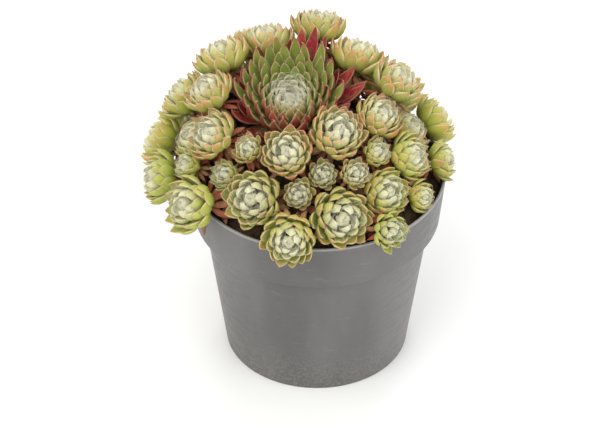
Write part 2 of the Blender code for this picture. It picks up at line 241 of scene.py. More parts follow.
def place_chicks():
    """The offsets, jittered by the seed and settled, and then a small one in each of the widest gaps."""
    draw = random.Random(SEED)
    chicks = []
    for azimuth, share, radius in OFFSETS:
        angle = math.radians(azimuth + draw.uniform(-JITTER, JITTER))
        chicks.append(chick_at(angle, share, radius * MM, draw))
    settle(chicks, SETTLE_ROUNDS)
    for _ in range(FILLERS):
        tries = []
        for degrees in range(0, 360, 2):
            for share in FILLER_SHARES:
                tries.append(chick_at(math.radians(degrees), share, 0, draw))
        best = max(tries, key=lambda place: room_for(place["home"], chicks))
        least, most = FILLER_RADII
        best["radius"] = min(max(room_for(best["home"], chicks), least), most)
        chicks.append(best)
        settle(chicks, FILLER_ROUNDS)
    return chicks


def rosette_frame(base, axis, spin):
    turn = axis.to_track_quat("Z", "Y").to_matrix().to_4x4()
    return Matrix.Translation(base) @ turn @ Matrix.Rotation(spin, 4, "Z")


# Leaf shapes: the same shells as the CAD source, with more and narrower leaves on them. Each measure is a
# polynomial in the leaf's share of the way from the heart to the outside: radii of the rosette, or degrees.
CHICK_LEAF = dict(
    root=(0.12, 0.08), foot=(0.5, -0.36), angle=(45, 45), tip_angle=(-55, 62),
    length=(0.8, 0.48), width=(0.38, 0.16), thick=(0.13,),
)
GREEN_LEAF = dict(
    root=(0.1, 0.06), foot=(0.3, -0.2), angle=(42, 44), tip_angle=(-50, 46),
    length=(0.24, 0.3, 0.7), width=(0.12, 0.1), thick=(0.05, 0.02),
)
RED_LEAF = dict(
    root=(0.17,), foot=(0.1, -0.1), angle=(90,), tip_angle=(5, 35),
    length=(1.34, 0.06), width=(0.22,), thick=(0.06,),
)
BUD_LEAF = dict(
    root=(0.03, 0.08), foot=(0.62,), angle=(12, 16), tip_angle=(-22, -8),
    length=(0.54, -0.06), width=(0.3,), thick=(0.1,),
)
OLD_LEAF = dict(
    root=(0.2,), foot=(0.12, -0.3), angle=(95, 30), tip_angle=(75, 85),
    length=(0.95, -0.2), width=(0.27,), thick=(0.045,),
)

# No two leaves are quite alike: spreads in degrees, or as shares of a leaf's own size, least at the heart.
HEART_LOOSENESS = 0.35
AZIMUTH_SPREAD = 4
LENGTH_SPREAD = 0.045
LENGTH_LIMITS = (-0.12, 0.05)
WIDTH_SPREAD = 0.1
TIP_SPREAD = 5
ROLL_SPREAD = 8
SWAY_SPREAD = 0.06
BUD_SHARE = 0.1


def shaped(shape, radius, share):
    """The measures of a leaf; share runs from 0 at the heart to 1 at the outside."""
    leaf = {}
    for key, terms in shape.items():
        value = terms[0]
        for power, term in enumerate(terms[1:], 1):
            value += term * share**power
        leaf[key] = math.radians(value) if "angle" in key else radius * value
    return leaf


def spiral(count, shape, radius, draw, start=0, looseness=1):
    """Leaves from the innermost out, each a golden angle round from the one before."""
    leaves = []
    least, most = LENGTH_LIMITS
    for k in range(count):
        share = math.sqrt((k + 0.5) / count)
        loose = looseness * (HEART_LOOSENESS + (1 - HEART_LOOSENESS) * share)
        leaf = shaped(shape, radius, share)
        leaf["share"] = share
        leaf["azimuth"] = (start + k) * GOLDEN_ANGLE + math.radians(draw.gauss(0, AZIMUTH_SPREAD) * loose)
        leaf["length"] *= 1 + max(least, min(most, draw.gauss(0, LENGTH_SPREAD))) * loose
        leaf["width"] *= 1 + draw.uniform(-WIDTH_SPREAD, WIDTH_SPREAD)
        leaf["tip_angle"] += math.radians(draw.gauss(0, TIP_SPREAD)) * loose
        leaf["roll"] = math.radians(draw.gauss(0, ROLL_SPREAD)) * loose
        leaf["sway"] = draw.gauss(0, SWAY_SPREAD) * loose
        leaf["luck"] = draw.random()
        leaves.append(leaf)
    return leaves


def bud_leaves(count, radius, draw, start):
    """Small leaves that fill a rosette's heart, coloured like the innermost of its leaves."""
    bud = spiral(count, BUD_LEAF, radius, draw, start)
    for leaf in bud:
        leaf["share"] *= BUD_SHARE
    return bud


# Meshes: leaf blades, hairs and cobweb threads as arrays, gathered in one piece per CAD node.

MIDRIB_STEPS = 40
SECTION = (0, 120, 240)
HAIRS_END = 0.97


def add_to_scene(name, data):
    obj = bpy.data.objects.new(name, data)
    bpy.context.scene.collection.objects.link(obj)
    return obj


class Piece:
    """Points, faces, finishes and two colour layers of one piece.

    The layer leaf holds the share of a leaf's length, nearness to its margin, its outer side and its luck.
    The layer tone holds its lime, red, pale and shade; the shade is a random brightness times painted shade
    that darkens each leaf towards its base.
    """

    def __init__(self):
        self.points, self.tints = [], []
        self.quads, self.triangles = [], []
        self.count = 0

    def add(self, points, quads, triangles, finish, leaf=(0, 0, 0, 0), tone=(0, 0, 0, 0), flat=False):
        """points is N x 3; finish is a slot; leaf and tone are four numbers for each point, or for all."""
        points = np.asarray(points, float).reshape(-1, 3)
        tint = np.empty((len(points), 8))
        tint[:, :4], tint[:, 4:] = leaf, tone
        self.points.append(points)
        self.tints.append(tint)
        for kept, faces in ((self.quads, quads), (self.triangles, triangles)):
            if len(faces):
                kept.append((np.asarray(faces, int) + self.count, finish, flat))
        self.count += len(points)

    def add_tubes(self, rings, roots, tips, finish, **layers):
        """Closed tubes, each from its rings of points, its root and its tip."""
        count, rows, around, _ = rings.shape
        points = np.concatenate([rings.reshape(count, -1, 3), roots[:, None], tips[:, None]], 1)
        self.add(points, *closed_rows(count, rows, around), finish, **layers)

    def make(self, name, finishes, nodes):
        """The piece as an object that stands for its CAD nodes."""
        mesh = bpy.data.meshes.new(name)
        points, tints = np.concatenate(self.points), np.concatenate(self.tints)
        groups = self.quads + self.triangles
        corners = np.concatenate([faces.ravel() for faces, _, _ in groups])
        counts = [len(faces) for faces, _, _ in groups]
        sizes = np.repeat([faces.shape[1] for faces, _, _ in groups], counts)
        mesh.vertices.add(len(points))
        mesh.vertices.foreach_set("co", points.astype(np.float32).ravel())
        mesh.loops.add(len(corners))
        mesh.loops.foreach_set("vertex_index", corners.astype(np.int32))
        mesh.polygons.add(len(sizes))
        mesh.polygons.foreach_set("loop_start", (np.cumsum(sizes) - sizes).astype(np.int32))
        indices = np.repeat([index for _, index, _ in groups], counts)
        mesh.polygons.foreach_set("material_index", indices.astype(np.int32))
        mesh.polygons.foreach_set("use_smooth", np.repeat([not flat for _, _, flat in groups], counts))
        for key, low in (("leaf", 0), ("tone", 4)):
            layer = mesh.color_attributes.new(key, "FLOAT_COLOR", "POINT")
            layer.data.foreach_set("color", tints[:, low : low + 4].astype(np.float32).ravel())
        mesh.update(calc_edges=True)
        mesh.validate()
        for finish in finishes:
            mesh.materials.append(finish)
        obj = add_to_scene(name, mesh)
        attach(obj, "root")
        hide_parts(*nodes)
        return obj


def closed_rows(leaves, rings, around):
    """Faces of many closed tubes, each of rings x around points and then a root point and a tip point."""
    i = np.arange(around)
    j = (i + 1) % around
    low = np.arange(rings - 1)[:, None] * around
    quads = np.stack([low + i, low + j, low + around + j, low + around + i], 2).reshape(-1, 4)
    last, root = low[-1] + around, np.full(around, rings * around)
    ends = np.concatenate([np.stack([j, i, root], 1), np.stack([last + i, last + j, root + 1], 1)])
    shift = np.arange(leaves)[:, None, None] * (rings * around + 2)
    return (quads + shift).reshape(-1, 4), (ends + shift).reshape(-1, 3)


def column(leaves, key):
    """One measure of each leaf, as a column."""
    return np.array([leaf[key] for leaf in leaves])[:, None]


def world(points, place):
    """Points of a rosette's own frame, in the row's frame."""
    turn = np.array(place.to_3x3())
    return points @ turn.T + np.array(place.translation)


def midribs(leaves, spots):
    """Curved midribs: the point at each share of the length, and the ways ahead, inward and across there."""
    angle, length = column(leaves, "angle"), column(leaves, "length")
    bend = column(leaves, "tip_angle") - angle
    along = angle + bend * ((np.arange(MIDRIB_STEPS) + 0.5) / MIDRIB_STEPS)
    step = length / MIDRIB_STEPS
    at = spots * MIDRIB_STEPS
    low = np.minimum(at.astype(int), MIDRIB_STEPS - 1)
    part = at - low
    walked = []
    for key, way in (("root", np.sin), ("foot", np.cos)):
        path = np.hstack([np.zeros((len(leaves), 1)), np.cumsum(way(along) * step, 1)])
        path += column(leaves, key)
        walked.append(path[:, low] * (1 - part) + path[:, low + 1] * part)
    side = column(leaves, "sway") * length * spots**2
    centre = np.stack([walked[0], side, walked[1]], 2)
    a = angle + bend * spots
    ahead = np.stack([np.sin(a), 0 * a, np.cos(a)], 2)
    inward = np.stack([-np.cos(a), 0 * a, np.sin(a)], 2)
    wide = np.broadcast_to((0, 1, 0), inward.shape)
    roll = column(leaves, "roll")[..., None] * spots[None, :, None]
    wide, inward = wide * np.cos(roll) + inward * np.sin(roll), inward * np.cos(roll) - wide * np.sin(roll)
    azimuth = column(leaves, "azimuth")[:, 0]
    c, s, o = np.cos(azimuth), np.sin(azimuth), np.zeros(len(leaves))
    turn = np.array([(c, -s, o), (s, c, o), (o, o, o + 1)])
    return [np.einsum("ijl,lsj->lsi", turn, vectors) for vectors in (centre, ahead, inward, wide)]


def blades(leaves, form, place):
    """Fleshy leaf blades along curved midribs, all at once.

    form has the shares of the length where the rings are, the width and depth there, the angles round a ring,
    the depth of the inner side and the curl of the margins. The result holds the points of each ring, and the
    frame along each midrib.
    """
    shares = np.array(form["shares"])
    phi = np.radians(form["around"])
    centre, ahead, inward, wide = midribs(leaves, np.append(shares, (0, 1)))
    half = column(leaves, "width") / 2 * np.array(form["widths"])
    deep = column(leaves, "thick") * np.array(form["depths"])
    u, v = np.cos(phi), np.sin(phi)
    out = np.where(v > 0, v, v * form["inner"])
    bow = form["curl"] * half[:, :, None] * u**2
    rows = len(shares)
    points = (centre[:, :rows, None] + wide[:, :rows, None] * (half[:, :, None] * u)[..., None]
              - inward[:, :rows, None] * (deep[:, :, None] * out - bow)[..., None])
    turn = np.array(place.to_3x3())
    return dict(
        points=world(points, place),
        root=world(centre[:, rows], place),
        tip=world(centre[:, rows + 1], place),
        tangent=ahead @ turn.T,
        inward=inward @ turn.T,
        wide=wide @ turn.T,
        shares=shares,
        u=u,
        outer=(v > 0.01) + 0.5 * (np.abs(v) <= 0.01),
    )


def clear_of_wall(leaf, place):
    """Whether a withered leaf lies wholly inside or wholly outside the pot's wall."""
    made = blades([leaf], OLD_FORM, place)
    points = np.concatenate([made["points"].reshape(-1, 3), made["root"], made["tip"]])
    low = points[points[:, 2] < POT_HEIGHT + FIT_GAP]
    reach = np.hypot(low[:, 0], low[:, 1])
    inside = reach < pot_inner_radius(POT_HEIGHT - SOIL_EDGE) - FIT_GAP
    outside = reach > RIM_RADIUS + FIT_GAP
    return inside.all() or outside.all()


def add_blades(piece, made, leaves, finish, tone=lambda *_: (0, 0, 0, 0)):
    """Adds blades to a piece. tone(share, t, outer, luck) gives lime, red, pale and shade, with painted shade
    towards each leaf's base, for many points.
    """
    points = made["points"]
    count, rows, around, _ = points.shape
    t = np.append(np.repeat(made["shares"], around), (0, 1))
    edge = np.append(np.tile(np.abs(made["u"]), rows), (0, 0))
    outer = np.append(np.tile(made["outer"], rows), (0.5, 0.5))
    share, luck = column(leaves, "share"), column(leaves, "luck")
    shape = (count, rows * around + 2)
    layers = dict(leaf=(t, edge, outer, luck), tone=tone(share, t[None], outer[None], luck))
    for key, values in layers.items():
        layers[key] = np.stack([np.broadcast_to(x, shape) for x in values], 2).reshape(-1, 4)
    piece.add_tubes(points, made["root"], made["tip"], finish, **layers)


def norms(vectors):
    """Length of each vector, as a column, and never quite zero."""
    return np.maximum(np.linalg.norm(vectors, axis=1, keepdims=True), 1e-9)


def section(heading, askew):
    """The two ways across each heading, and the three corners of a hair's section."""
    side = np.cross(heading, np.array(askew))
    side /= norms(side)
    other = np.cross(heading, side)
    turns = np.radians(SECTION)
    ring = side[:, None] * np.cos(turns)[None, :, None] + other[:, None] * np.sin(turns)[None, :, None]
    return side, other, ring


def add_spikes(piece, base, heading, length, radius, finish, rng, bend=0.25):
    """Fine tapered hairs, each with one bend."""
    count = len(base)
    heading = heading / norms(heading)
    side, other, ring = section(heading, (0.31, 0.17, 0.93))
    lean = (side * rng.normal(0, 1, (count, 1)) + other * rng.normal(0, 1, (count, 1))) * bend
    middle = base + heading * length[:, None] * 0.5
    tip = base + (heading + lean) * length[:, None]
    rows = np.stack([base[:, None] + ring * radius, middle[:, None] + ring * radius * 0.7], 1)
    piece.add_tubes(rows, base, tip, finish, flat=True)


def add_threads(piece, start, end, bulge):
    """Cobweb threads from start to end, bowed by bulge at the middle."""
    heading = end - start
    ring = section(heading / norms(heading), (0.41, -0.22, 0.88))[2]
    rows = []
    for t in (0.2, 0.5, 0.8):
        spot = start * (1 - t) + end * t + bulge * (4 * t * (1 - t))
        rows.append(spot[:, None] + ring * THREAD_RADIUS)
    piece.add_tubes(np.stack(rows, 1), start, end, HAIR, flat=True)


def margin_hairs(piece, made, leaves, rng, per_side, first, length, radius, least_share=0):
    """Hairs along both margins of each blade from a first share of its length on, longest towards the tip."""
    chosen = column(leaves, "share")[:, 0] >= least_share
    points, ahead, over, across = (made[key][chosen] for key in ("points", "tangent", "inward", "wide"))
    count, rows = points.shape[:2]
    pick = np.arange(count)[:, None]
    for margin, sign in ((np.argmax(made["u"]), 1), (np.argmin(made["u"]), -1)):
        row = np.arange(per_side) + rng.uniform(0.1, 0.9, (count, per_side))
        t = first + (HAIRS_END - first) * row / per_side
        at = np.interp(t, made["shares"], np.arange(rows))
        low = np.minimum(at.astype(int), rows - 2)
        part = (at - low)[..., None]
        base = points[pick, low, margin] * (1 - part) + points[pick, low + 1, margin] * part
        heading = across[pick, low] * sign + ahead[pick, low] * rng.uniform(0.3, 1.3, t.shape)[..., None]
        heading += over[pick, low] * rng.uniform(-0.2, 0.7, t.shape)[..., None]
        size = length * (0.55 + 0.45 * t) * rng.uniform(0.6, 1.2, t.shape)
        add_spikes(piece, base.reshape(-1, 3), heading.reshape(-1, 3), size.ravel(), radius, FRINGE, rng)


def tip_tufts(piece, made, rng, per_leaf, length, radius):
    """A tuft of soft hairs at each leaf's tip."""
    tip = np.repeat(made["tip"], per_leaf, 0)
    ahead, over, wide = (np.repeat(made[key][:, -1], per_leaf, 0) for key in ("tangent", "inward", "wide"))
    count = len(tip)
    heading = ahead * 0.7 + over * rng.uniform(-0.3, 1, (count, 1)) + wide * rng.normal(0, 0.8, (count, 1))
    base = tip - ahead * rng.uniform(0, 0.6, (count, 1)) * length
    size = length * rng.uniform(0.5, 1.3, count)
    add_spikes(piece, base, heading, size, radius, HAIR, rng, bend=0.5)


def cobweb(piece, made, place, rng, inner, steps, per_pair, lift):
    """Threads from tip to tip over the innermost leaves; steps are the places between the two leaves."""
    tips = made["tip"]
    pairs = [(k, k + step) for k in range(inner) for step in steps if k + step < len(tips)]
    start, end = (np.repeat(tips[list(ends)], per_pair, 0) for ends in zip(*pairs))
    axis = np.array(place.to_3x3().col[2])
    reach = norms(end - start)
    start += rng.normal(0, 0.06, start.shape) * reach
    end += rng.normal(0, 0.06, end.shape) * reach
    bulge = axis * reach * rng.uniform(-0.02, lift, reach.shape)
    bulge += rng.normal(0, 0.04, start.shape) * reach
    add_threads(piece, start, end, bulge)


def add_stem(piece, start, axis, spot, top_radius, radius):
    """A runner: straight up out of the soil and then over to its rosette, with a few old scars round it."""
    around, steps = 9, 15
    hole = Vector((spot.x, spot.y, soil_top(spot.length)))
    reach = (hole - start).length * 0.4
    first = start - axis * reach
    second = hole + UP * reach * 1.4
    rows, widths = [Vector((hole.x, hole.y, hole.z - HOLE_DEPTH))], [radius]
    for k in range(steps):
        t = 1 - k / (steps - 1)
        u = 1 - t
        rows.append(start * u**3 + first * 3 * u * u * t + second * 3 * u * t * t + hole * t**3)
        widths.append((radius + (top_radius - radius) * u**3) * (1.08 if k % 3 == 1 else 0.95))
    angles = [TURN * i / around for i in range(around)]
    points = []
    side = Vector((1, 0, 0))
    for k, row in enumerate(rows):
        heading = (rows[min(k + 1, len(rows) - 1)] - rows[max(k - 1, 0)]).normalized()
        side = (side - heading * side.dot(heading)).normalized()
        other = heading.cross(side)
        points += [tuple(row + (side * math.cos(a) + other * math.sin(a)) * widths[k]) for a in angles]
    points += [tuple(rows[0]), tuple(rows[-1])]
    piece.add(points, *closed_rows(1, len(rows), around), STEM)


# Finishes.


class Finish:
    """One material, with short calls that add its nodes."""

    def __init__(self, name, shine, **settings):
        self.material = bpy.data.materials.new(name)
        self.material.use_nodes = True
        self.tree = self.material.node_tree
        self.shader = self.tree.nodes["Principled BSDF"]
        self.feed(self.shader, "Specular IOR Level", shine)
        for key, value in settings.items():
            self.shader.inputs[key.replace("_", " ")].default_value = value
        self.place = self.node("TexCoord").outputs["Object"]

    def node(self, kind, **settings):
        made = self.tree.nodes.new("ShaderNode" + kind)
        for key, value in settings.items():
            setattr(made, key, value)
        return made

    def feed(self, made, key, value):
        """Links or sets a node's socket."""
        socket = made.inputs[key]
        if isinstance(value, bpy.types.NodeSocket):
            self.tree.links.new(value, socket)
        elif isinstance(value, tuple):
            socket.default_value = (*value, 1) if len(value) == 3 else value
        else:
            socket.default_value = value

    def read(self, name):
        """The four numbers of a mesh attribute."""
        made = self.node("Attribute", attribute_name=name)
        parts = self.node("SeparateColor")
        self.feed(parts, "Color", made.outputs["Color"])
        return (*(parts.outputs[k] for k in ("Red", "Green", "Blue")), made.outputs["Alpha"])

    def noise(self, scale, detail=2, stretch=None):
        """Cloudy noise from 0 to 1, with scale cells to the metre."""
        made = self.node("TexNoise")
        place = self.place
        if stretch:
            mapping = self.node("Mapping")
            mapping.inputs["Scale"].default_value = stretch
            self.feed(mapping, "Vector", self.place)
            place = mapping.outputs["Vector"]
        self.feed(made, "Vector", place)
        self.feed(made, "Scale", scale)
        self.feed(made, "Detail", detail)
        return made.outputs["Fac"]

    def ease(self, value, low, high, least=0, most=1):
        """A smooth step of a value from least to most, between low and high."""
        made = self.node("MapRange", interpolation_type="SMOOTHSTEP")
        keys = ("Value", "From Min", "From Max", "To Min", "To Max")
        for key, given in zip(keys, (value, low, high, least, most)):
            self.feed(made, key, given)
        return made.outputs["Result"]

    def maths(self, kind, a, b=0):
        made = self.node("Math", operation=kind)
        self.feed(made, 0, a)
        self.feed(made, 1, b)
        return made.outputs["Value"]

    def times(self, a, b):
        return self.maths("MULTIPLY", a, b)

    def plus(self, a, b):
        return self.maths("ADD", a, b)

    def mix(self, amount, a, b, blend="MIX"):
        made = self.node("Mix", data_type="RGBA", blend_type=blend)
        self.feed(made, "Factor", amount)
        self.feed(made, 6, a)
        self.feed(made, 7, b)
        return made.outputs[2]

    def bump(self, height, strength, distance):
        made = self.node("Bump")
        self.feed(made, "Strength", strength)
        self.feed(made, "Distance", distance)
        self.feed(made, "Height", height)
        self.feed(self.shader, "Normal", made.outputs["Normal"])

    def colour(self, value):
        self.feed(self.shader, "Base Color", value)

    def rough(self, value):
        self.feed(self.shader, "Roughness", value)


def leaf_finish(name, inner, outer, lime, margin, tip, red, veil):
    """Skin of a living leaf: green, pale at the margins, flushed and tipped as its tones say.

    Over the flesh come lime, red, the pale margin, the tip and the web's veil; shade, a random brightness
    with painted shade towards each leaf's base, and veins darken it all.
    """
    f = Finish(name, 0.4, Subsurface_Weight=0.12, Subsurface_Scale=1.5 * MM, Subsurface_Radius=(1, 0.7, 0.25))
    t, edge, side, luck = f.read("leaf")
    limy, flush, pale, shade = f.read("tone")
    blotch, speck = f.noise(420, 3), f.noise(2600, 2)
    flesh = f.mix(side, inner, outer)
    flesh = f.mix(f.times(limy, f.ease(blotch, 0.25, 0.7, 0.6, 1)), flesh, lime)
    blushed = f.times(flush, f.ease(blotch, 0.2, 0.62, 0.55, 1))
    flesh = f.mix(f.maths("MINIMUM", blushed, 1), flesh, red)
    rim = f.ease(f.plus(edge, f.times(speck, 0.1)), 0.78, 1)
    rim = f.times(rim, f.ease(t, 0.12, 0.45))
    rim = f.times(rim, f.ease(limy, 0.3, 1, 1, 0.6))
    flesh = f.mix(f.times(rim, f.ease(flush, 0.3, 0.9, 0.85, 0.35)), flesh, margin)
    end = f.times(f.ease(t, 0.8, 0.96), f.ease(luck, 0.1, 0.7, 0.4, 1))
    end = f.times(end, f.ease(limy, 0.2, 0.8, 1, 0.35))
    end = f.times(end, f.ease(flush, 0.5, 1, 1, 0.25))
    flesh = f.mix(f.times(end, f.ease(pale, 0.3, 0.8, 1, 0.1)), flesh, tip)
    flesh = f.mix(f.times(pale, f.ease(speck, 0.3, 0.62, 0.7, 1)), flesh, veil)
    vein = f.maths("SINE", f.times(edge, 26))
    # Painted shade: the shade tone darkens each leaf towards its base, where the leaves overlap; the rest of
    # it is random brightness.
    dark = f.times(shade, f.ease(speck, 0.25, 0.75, 0.9, 1.08))
    dark = f.times(dark, f.ease(vein, -1, 1, 0.97, 1.03))
    f.colour(f.mix(1, flesh, dark, "MULTIPLY"))
    f.rough(f.ease(blotch, 0.3, 0.7, 0.42, 0.62))
    f.bump(f.plus(f.times(vein, 0.18), speck), 0.5, 0.18 * MM)
    return f.material


def hair_finish(name, cells, dark, light, smoothest):
    """Cobweb threads and soft hairs, or the short stiff hairs along a leaf's margin."""
    f = Finish(name, 0.3)
    f.colour(f.mix(f.noise(cells, 2), dark, light))
    f.rough(f.ease(f.noise(1500, 1), 0.3, 0.7, smoothest, smoothest + 0.2))
    return f.material


def withered_finish():
    """Old leaves: papery, from straw to rust and dark brown."""
    f = Finish("withered", 0.25)
    t, edge, _, luck = f.read("leaf")
    blotch, grain = f.noise(350, 4), f.noise(1800, 3)
    base = f.mix(f.ease(luck, 0.2, 0.75), (0.54, 0.29, 0.14), (0.42, 0.075, 0.045))
    base = f.mix(f.ease(f.plus(blotch, f.times(t, 0.25)), 0.55, 0.95), base, (0.22, 0.075, 0.04))
    base = f.mix(f.ease(edge, 0.7, 1, 0, 0.6), base, (0.45, 0.28, 0.13))
    f.colour(f.mix(f.ease(grain, 0.3, 0.7, 0, 0.3), base, (0.2, 0.1, 0.05)))
    f.rough(f.ease(grain, 0.3, 0.7, 0.65, 0.85))
    f.bump(f.plus(grain, f.maths("SINE", f.times(edge, 18))), 0.6, 0.2 * MM)
    return f.material


def stem_finish():
    """Runner bark: ruddy brown over dull green."""
    f = Finish("runner", 0.3)
    blotch, grain = f.noise(260, 3), f.noise(1500, 3)
    base = f.mix(f.ease(blotch, 0.35, 0.65), (0.16, 0.07, 0.035), (0.2, 0.17, 0.06))
    f.colour(f.mix(f.ease(grain, 0.4, 0.7, 0, 0.5), base, (0.07, 0.035, 0.02)))
    f.rough(f.ease(grain, 0.3, 0.7, 0.6, 0.8))
    f.bump(grain, 0.6, 0.3 * MM)
    return f.material


def soil_finish():
    """Peaty compost: near black, with brown fibres and pale specks."""
    f = Finish("compost", 0.2)
    brown, white = f.read("tone")[:2]
    coarse, fine = f.noise(240, 4), f.noise(1700, 4)
    base = f.mix(f.ease(coarse, 0.35, 0.65), (0.028, 0.018, 0.012), (0.08, 0.05, 0.03))
    base = f.mix(f.ease(fine, 0.5, 0.72), base, (0.12, 0.075, 0.04))
    base = f.mix(brown, base, (0.1, 0.055, 0.028))
    f.colour(f.mix(white, base, (0.55, 0.53, 0.48)))
    f.rough(f.ease(fine, 0.3, 0.7, 0.85, 1))
    f.bump(f.plus(coarse, fine), 0.8, 0.6 * MM)
    return f.material


def pot_finish():
    """Thin grey plastic: faint mould flow, scuffs, dust on the body and a painted highlight on the lip."""
    f = Finish("pot_plastic_worn_and_painted_lip_highlight", 0.45)
    spot = f.node("SeparateXYZ")
    f.feed(spot, "Vector", f.place)
    height = spot.outputs["Z"]
    flow = f.noise(40, 4, (1, 1, 0.25))
    grain = f.noise(900, 3)
    scuff = f.noise(130, 5, (1, 1, 5))
    base = f.mix(f.ease(flow, 0.3, 0.7), (0.092, 0.09, 0.088), (0.128, 0.125, 0.123))
    base = f.mix(f.ease(scuff, 0.55, 0.75, 0, 0.18), base, (0.3, 0.29, 0.29))
    dust = f.times(f.ease(height, 0, 30 * MM, 0.35, 0), f.ease(grain, 0.4, 0.7))
    base = f.mix(dust, base, (0.3, 0.26, 0.22))
    # Painted highlight: a paler band along the top of the lip stands in for light catching it.
    painted_lip_highlight = f.ease(height, POT_HEIGHT - 1.2 * MM, POT_HEIGHT - 0.2 * MM, 0, 0.55)
    f.colour(f.mix(painted_lip_highlight, base, (0.46, 0.45, 0.45)))
    f.rough(f.plus(f.ease(scuff, 0.45, 0.7, 0.36, 0.52), f.times(grain, 0.08)))
    f.bump(f.plus(grain, f.times(scuff, 0.5)), 0.25, 0.12 * MM)
    return f.material


FINISHES = dict(
    chick=leaf_finish(
        "chick_skin", inner=(0.36, 0.37, 0.15), outer=(0.34, 0.38, 0.1), lime=(0.4, 0.46, 0.06),
        margin=(0.72, 0.56, 0.33), tip=(0.58, 0.29, 0.14), red=(0.42, 0.07, 0.035), veil=(0.76, 0.74, 0.57),
    ),
    hen=leaf_finish(
        "hen_skin", inner=(0.22, 0.31, 0.05), outer=(0.24, 0.26, 0.06), lime=(0.34, 0.42, 0.08),
        margin=(0.68, 0.62, 0.36), tip=(0.5, 0.22, 0.12), red=(0.34, 0.016, 0.036), veil=(0.76, 0.72, 0.56),
    ),
    hair=hair_finish("cobweb", 900, (0.62, 0.6, 0.46), (0.82, 0.8, 0.68), 0.55),
    fringe=hair_finish("fringe", 700, (0.56, 0.4, 0.24), (0.76, 0.66, 0.46), 0.5),
    old=withered_finish(),
    stem=stem_finish(),
    soil=soil_finish(),
    pot=pot_finish(),
)


# Rosettes: their slots, and the sections of their leaves at shares of the length.

SKIN, FRINGE, HAIR, OLD, STEM = range(5)
CHICK_FORM = dict(
    shares=(0.04, 0.22, 0.42, 0.6, 0.74, 0.86, 0.95),
    widths=(0.55, 0.78, 0.95, 1, 0.86, 0.56, 0.2),
    depths=(0.6, 0.9, 1, 0.95, 0.8, 0.5, 0.2),
    around=(0, 22, 55, 90, 125, 158, 180, 215, 270, 325),
    inner=0.3,
    curl=0.3,
)
HEN_FORM = dict(
    CHICK_FORM,
    shares=(0.04, 0.2, 0.4, 0.58, 0.74, 0.86, 0.95),
    widths=(0.7, 0.88, 1, 1, 0.86, 0.56, 0.2),
    depths=(0.7, 0.95, 1, 0.9, 0.75, 0.5, 0.2),
    curl=0.22,
)
OLD_FORM = dict(
    shares=(0.05, 0.35, 0.65, 0.88),
    widths=(0.5, 0.9, 0.9, 0.4),
    depths=(0.8, 1, 1, 0.7),
    around=(0, 60, 120, 180, 240, 300),
    inner=1,
    curl=0.5,
)
# A collar leaf's outer half at its widest, to keep it clear of the offsets.
OUTLINE_FORM = dict(
    HEN_FORM,
    shares=(0.5, 0.65, 0.8, 0.95),
    widths=(1, 1, 1, 0.5),
    depths=(1, 1, 1, 1),
)
BEND_TRIES = 14
BEND_STEP = math.radians(4)
BEND_SHORTER = 0.97


def finishes_of(skin):
    """The finishes of a rosette, in the order of its slots."""
    return [FINISHES[key] for key in (skin, "fringe", "hair", "old", "stem")]


def clip(values):
    return np.clip(values, 0, 1)


def smooth(values, low, high):
    """A smooth step from 0 to 1 between low and high."""
    t = clip((values - low) / (high - low))
    return t * t * (3 - 2 * t)


def add_living(piece, leaves, form, place, tone, rng, fringe=None, tufts=None, web=None):
    """Living leaves, with hairs on their margins, tufts at their tips and cobweb over the heart."""
    made = blades(leaves, form, place)
    add_blades(piece, made, leaves, SKIN, tone)
    if fringe:
        margin_hairs(piece, made, leaves, rng, **fringe)
    if tufts:
        tip_tufts(piece, made, rng, **tufts)
    if web:
        cobweb(piece, made, place, rng, **web)


def add_withered(piece, leaves, place, finish):
    add_blades(piece, blades(leaves, OLD_FORM, place), leaves, finish)


